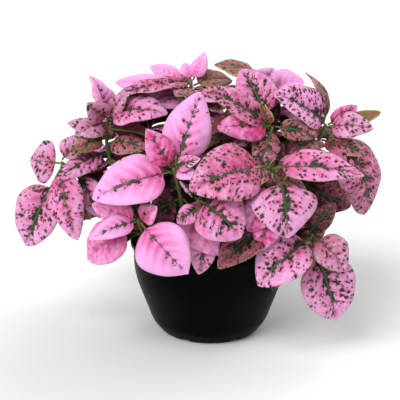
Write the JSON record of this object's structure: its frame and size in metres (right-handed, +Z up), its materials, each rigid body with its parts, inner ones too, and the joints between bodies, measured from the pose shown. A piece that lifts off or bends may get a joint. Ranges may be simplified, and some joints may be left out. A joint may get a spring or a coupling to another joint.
{
  "type": "potted polka dot plant",
  "caption": "Bushy polka dot plant with pink leaves veined and flecked dark green, on upright stems in a short tapered black nursery pot of soil.",
  "frame": {"origin": "centre of the pot's flat base, on the surface that it stands on", "axes": "+Z up, +X along the plant's widest spread, -Y towards the plant's front"},
  "size_m": [0.2532, 0.1782, 0.1922],
  "materials": {
    "pot": "black moulded plastic, satin, slightly scuffed",
    "soil": "dark crumbly potting mix with bark and white perlite grains",
    "stem": "green, slightly woody and fine-haired, with swollen nodes",
    "leaf": "soft satin leaf, pink with dark green veins and flecks, quilted between the veins"
  },
  "bodies": {
    "root": {"pot": "pot", "soil": "soil", "back_centre_stem": "stem", "back_left_stem": "stem", "back_right_stem": "stem", "far_left_stem": "stem", "far_right_stem": "stem", "front_left_stem": "stem", "front_right_stem": "stem", "low_centre_stem": "stem", "low_left_stem": "stem", "low_right_stem": "stem", "lower_right_stem": "stem", "top_left_stem": "stem", "top_right_stem": "stem", "upper_left_stem": "stem", "upper_right_stem": "stem", "back_centre_leaf_1": "leaf", "back_centre_leaf_2": "leaf", "back_centre_leaf_3": "leaf", "back_centre_leaf_4": "leaf", "back_left_leaf_1": "leaf", "back_left_leaf_2": "leaf", "back_left_leaf_3": "leaf", "back_right_leaf_1": "leaf", "back_right_leaf_2": "leaf", "back_right_leaf_3": "leaf", "far_left_leaf_1": "leaf", "far_left_leaf_2": "leaf", "far_left_leaf_3": "leaf", "far_right_leaf_1": "leaf", "far_right_leaf_2": "leaf", "far_right_leaf_3": "leaf", "far_right_leaf_4": "leaf", "front_left_leaf_1": "leaf", "front_left_leaf_2": "leaf", "front_left_leaf_3": "leaf", "front_left_leaf_4": "leaf", "front_right_leaf_1": "leaf", "front_right_leaf_2": "leaf", "low_centre_leaf_1": "leaf", "low_left_leaf_1": "leaf", "low_left_leaf_2": "leaf", "low_right_leaf_1": "leaf", "low_right_leaf_2": "leaf", "low_right_leaf_3": "leaf", "lower_right_leaf_1": "leaf", "lower_right_leaf_2": "leaf", "lower_right_leaf_3": "leaf", "top_left_leaf_1": "leaf", "top_left_leaf_2": "leaf", "top_left_leaf_3": "leaf", "top_right_leaf_1": "leaf", "top_right_leaf_2": "leaf", "top_right_leaf_3": "leaf", "upper_left_leaf_1": "leaf", "upper_left_leaf_2": "leaf", "upper_left_leaf_3": "leaf", "upper_right_leaf_1": "leaf", "upper_right_leaf_2": "leaf"}
  },
  "joints": []
}
